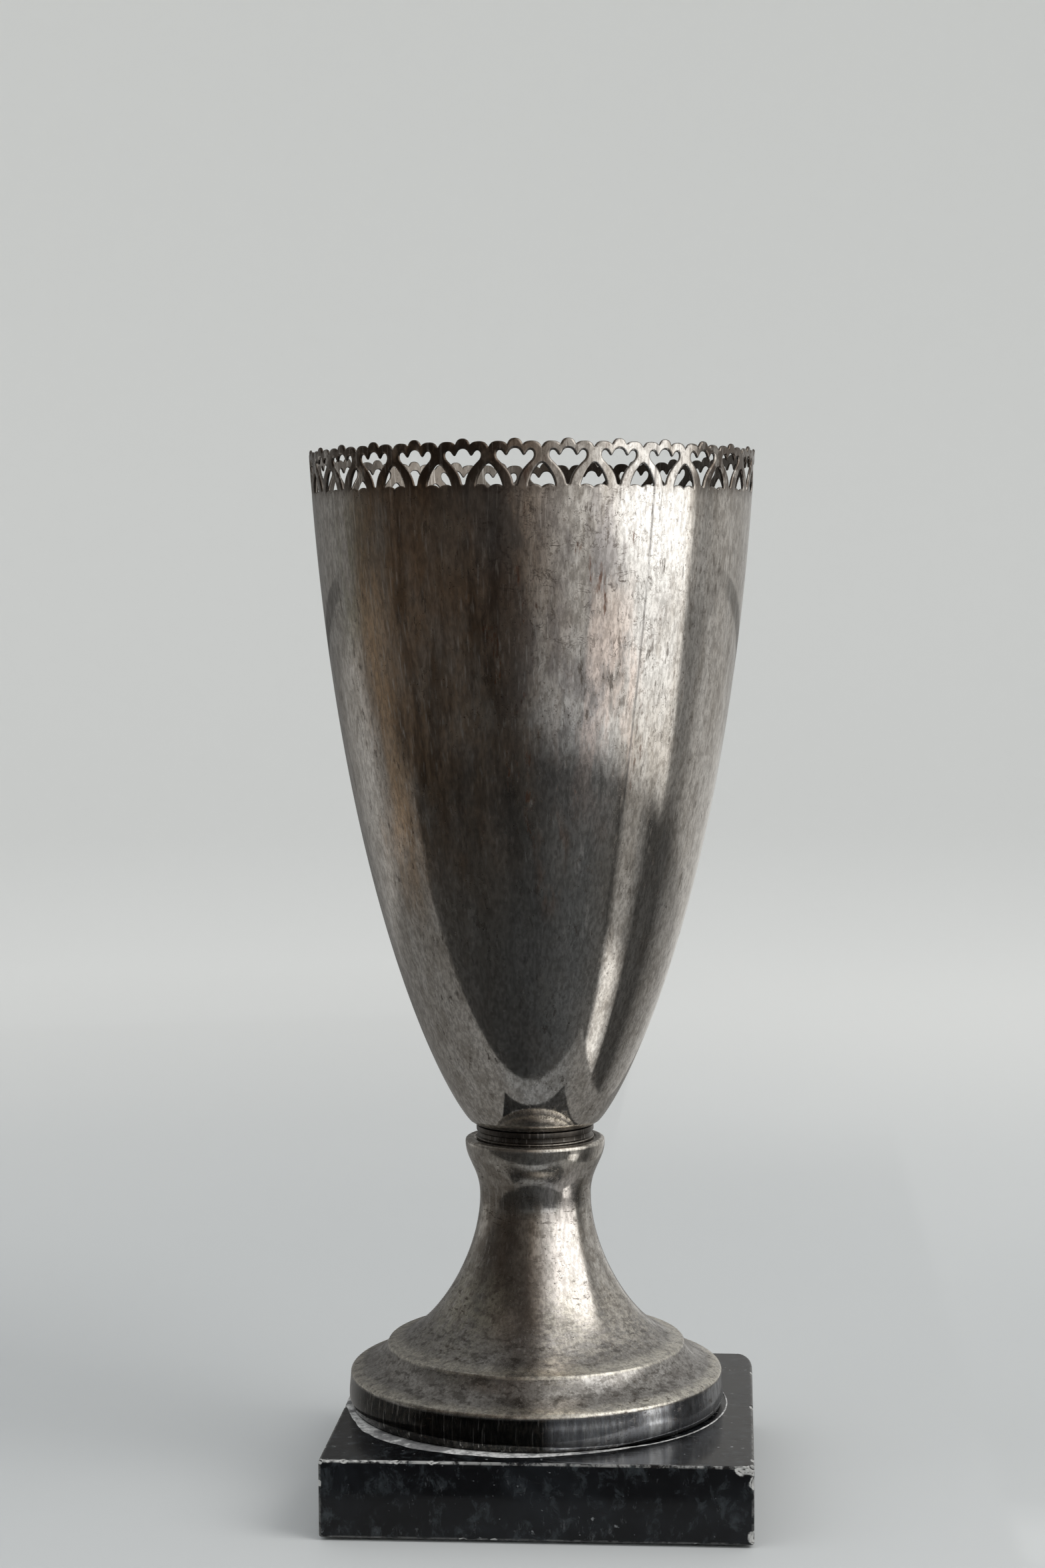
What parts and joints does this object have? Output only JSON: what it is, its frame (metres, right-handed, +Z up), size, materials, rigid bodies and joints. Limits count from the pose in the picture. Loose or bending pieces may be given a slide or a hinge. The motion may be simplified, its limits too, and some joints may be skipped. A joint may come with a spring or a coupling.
{
  "type": "cup trophy",
  "caption": "Tall cup trophy: a pierced and scalloped metal bowl on a trumpet foot, clamped to a square black marble block.",
  "frame": {"origin": "on the cup's axis, at the level of the surface that the felt rests on", "axes": "+Z up along the cup's axis, +X to the right and -Y to the front, square to the block"},
  "size_m": [0.1186, 0.1186, 0.2772],
  "materials": {
    "silver_plate": "silver-plated brass sheet, tarnished brown and grey, polished but worn",
    "silver_plate_foot": "silver-plated brass sheet, blotched tarnish, rubbed edges",
    "blackened_plate": "silver-plated brass, blackened with dirt and tarnish",
    "raw_brass": "dull, as turned",
    "zinc_steel": "zinc-plated, dull",
    "spring_steel": "oiled, dark",
    "black_marble": "polished black marble with faint grey mottling, thin pale veins and chipped edges",
    "felt": "thin black felt",
    "dried_glue": "dry, chalky, cracked residue"
  },
  "bodies": {
    "root": {"felt_pad": "felt", "marble_base": "black_marble", "base_washer": "zinc_steel", "base_lock_washer": "spring_steel", "base_nut": "zinc_steel", "foot": "silver_plate_foot", "stem_washer": "zinc_steel", "stem_nut": "zinc_steel", "tie_rod": "zinc_steel", "neck_ring": "blackened_plate", "bowl_boss": "raw_brass", "bowl": "silver_plate"}
  },
  "joints": []
}
